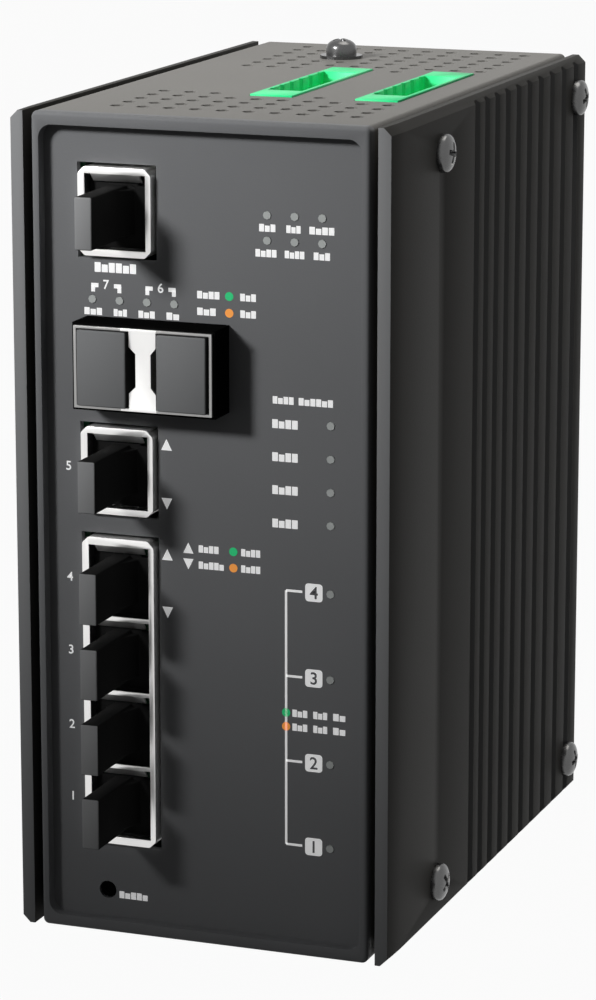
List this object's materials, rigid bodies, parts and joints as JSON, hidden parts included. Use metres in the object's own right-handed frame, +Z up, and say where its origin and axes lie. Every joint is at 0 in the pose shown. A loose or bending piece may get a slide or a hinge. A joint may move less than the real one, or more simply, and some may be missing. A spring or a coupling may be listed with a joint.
{
  "type": "din rail ethernet switch",
  "caption": "Tall industrial network switch with fluted heat sink sides, plugged jacks, a twin module cage, terminal headers in its top and a rail clip behind",
  "frame": {"origin": "middle of the enclosure's flat underside", "axes": "+X to the right and -Y out of the front, as seen from the front; +Z up"},
  "size_m": [0.0768, 0.1344, 0.1558],
  "materials": {
    "grey_coat": "grey powder coat",
    "sink_coat": "dark anodised fluted aluminium",
    "black_steel": "blackened steel",
    "plated_steel": "zinc plated steel",
    "spring_steel": "bright spring steel",
    "jack_steel": "tin plated shield",
    "black_plastic": "moulded black plastic",
    "plug_rubber": "soft black stopper",
    "gasket_foam": "conductive foam",
    "contact_gold": "gold flashed contacts",
    "tinned_pin": "tinned pins",
    "lamp_window": "clear lamp windows",
    "board_green": "solder mask",
    "post_brass": "nickelled brass posts",
    "spacer_white": "nylon",
    "header_green": "green moulded plastic",
    "chip_black": "moulded chip package",
    "block_metal": "milled aluminium",
    "can_metal": "bright cans",
    "coil_copper": "wound copper",
    "link_plastic": "cream plastic"
  },
  "bodies": {
    "enclosure": {"front_frame": "grey_coat", "front_panel": "grey_coat", "chassis_shell": "grey_coat", "right_heat_sink": "sink_coat", "left_heat_sink": "sink_coat", "right_sink_screws": "black_steel", "left_sink_screws": "black_steel", "ground_screw": "black_steel", "ground_washer": "plated_steel", "rail_bracket": "plated_steel", "rail_bracket_screws": "plated_steel", "board_screws": "plated_steel", "header_board_screws": "plated_steel", "rail_spring": "spring_steel", "console_jack_shell": "jack_steel", "single_jack_shell": "jack_steel", "gang_jack_shell": "jack_steel", "sfp_cage": "jack_steel", "console_jack_insert": "black_plastic", "single_jack_insert": "black_plastic", "gang_jack_insert": "black_plastic", "sfp_sockets": "black_plastic", "reset_switch": "black_plastic", "console_dust_plug": "plug_rubber", "port_5_dust_plug": "plug_rubber", "port_4_dust_plug": "plug_rubber", "port_3_dust_plug": "plug_rubber", "port_2_dust_plug": "plug_rubber", "port_1_dust_plug": "plug_rubber", "sfp_plug_left": "plug_rubber", "sfp_plug_right": "plug_rubber", "sfp_gasket": "gasket_foam", "console_jack_contacts": "contact_gold", "single_jack_contacts": "contact_gold", "gang_jack_contacts": "contact_gold", "alarm_pins": "tinned_pin", "power_pins": "tinned_pin", "jack_lamps": "lamp_window", "light_pipes": "lamp_window", "main_board": "board_green", "power_board": "board_green", "header_board": "board_green", "lamp_board": "board_green", "board_posts": "post_brass", "header_board_posts": "post_brass", "lamp_board_spacers": "spacer_white", "alarm_header": "header_green", "power_header": "header_green", "switch_chip": "chip_black", "power_transistors": "chip_black", "line_transformers": "chip_black", "chip_heat_block": "block_metal", "power_heat_block": "block_metal", "capacitors": "can_metal", "inductors": "coil_copper", "board_links": "link_plastic"},
    "reset_button": {"reset_button": "black_plastic"}
  },
  "joints": [
    {"name": "reset_press", "type": "slide", "parent": "enclosure", "child": "reset_button", "axis": [0, 1, 0], "range_m": [0, 0.0005], "stiffness_N_per_m": 600}
  ]
}
